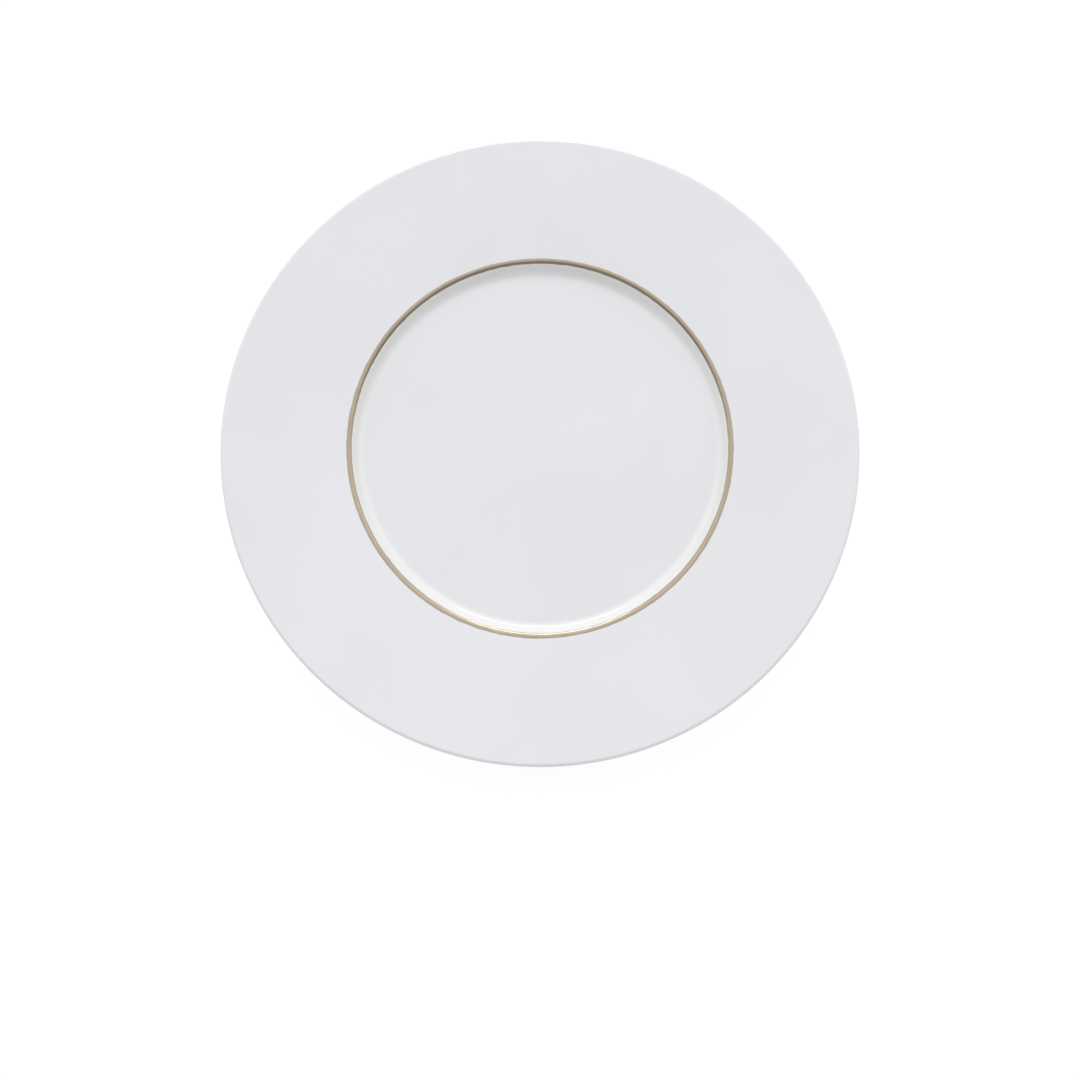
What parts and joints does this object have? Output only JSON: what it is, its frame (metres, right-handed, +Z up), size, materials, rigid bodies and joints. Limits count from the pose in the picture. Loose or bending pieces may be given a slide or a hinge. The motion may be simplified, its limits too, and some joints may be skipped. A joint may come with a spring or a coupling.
{
  "type": "dinner plate",
  "caption": "Round china dinner plate with a broad flat rim, a shallow sunk well, a gold line round the well's shoulder and a foot ring.",
  "frame": {"origin": "middle of the foot ring's ground flat, on the surface that the plate stands on", "axes": "+Z up along the axis that the plate is turned about; +X and +Y are any two directions across it"},
  "size_m": [0.28, 0.28, 0.0185],
  "materials": {
    "bare_china": "unglazed white china, ground smooth, matt",
    "glaze": "clear glaze over white china, high gloss, cool white",
    "gold": "fired bright gold line, pale champagne gold, polished",
    "mark_enamel": "fired-on print, dull gold brown, satin"
  },
  "bodies": {
    "root": {"china_body": "bare_china", "face_glaze": "glaze", "base_glaze": "glaze", "gold_band": "gold", "base_mark": "mark_enamel"}
  },
  "joints": []
}
